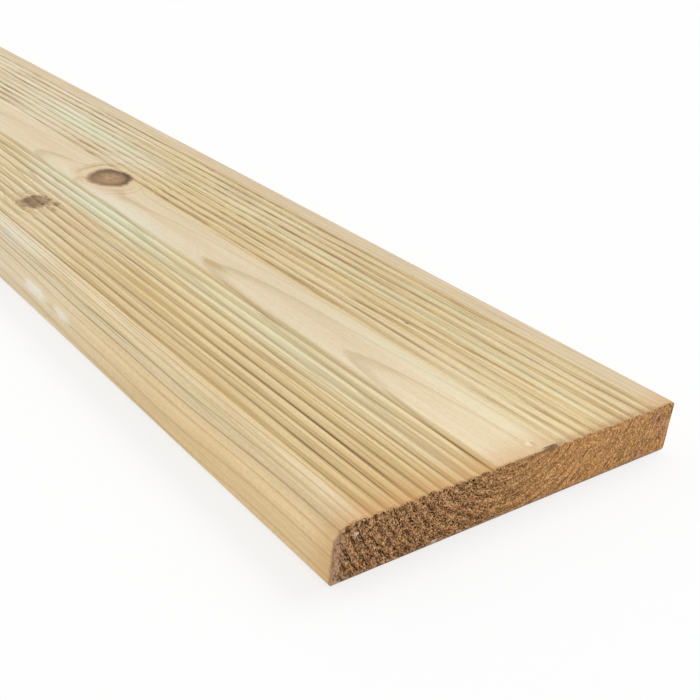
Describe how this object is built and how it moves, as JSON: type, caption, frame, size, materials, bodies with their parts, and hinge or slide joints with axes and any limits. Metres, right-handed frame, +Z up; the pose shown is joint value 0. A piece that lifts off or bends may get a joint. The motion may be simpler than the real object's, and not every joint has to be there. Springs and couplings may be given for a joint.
{
  "type": "decking board",
  "caption": "Long flat softwood decking board with reeded bands machined along its upper face and one rounded upper edge.",
  "frame": {"origin": "centre of the underside, midway along the length and across the width", "axes": "+X along the board towards the pictured sawn end, +Y across the face towards the squarer upper edge, +Z up out of the reeded face"},
  "size_m": [2.4, 0.145, 0.019],
  "materials": {
    "treated_pine": "planed and machined softwood, pressure treated, unsealed and matt, with rough sawn ends"
  },
  "bodies": {
    "root": {"deck_board": "treated_pine"}
  },
  "joints": []
}
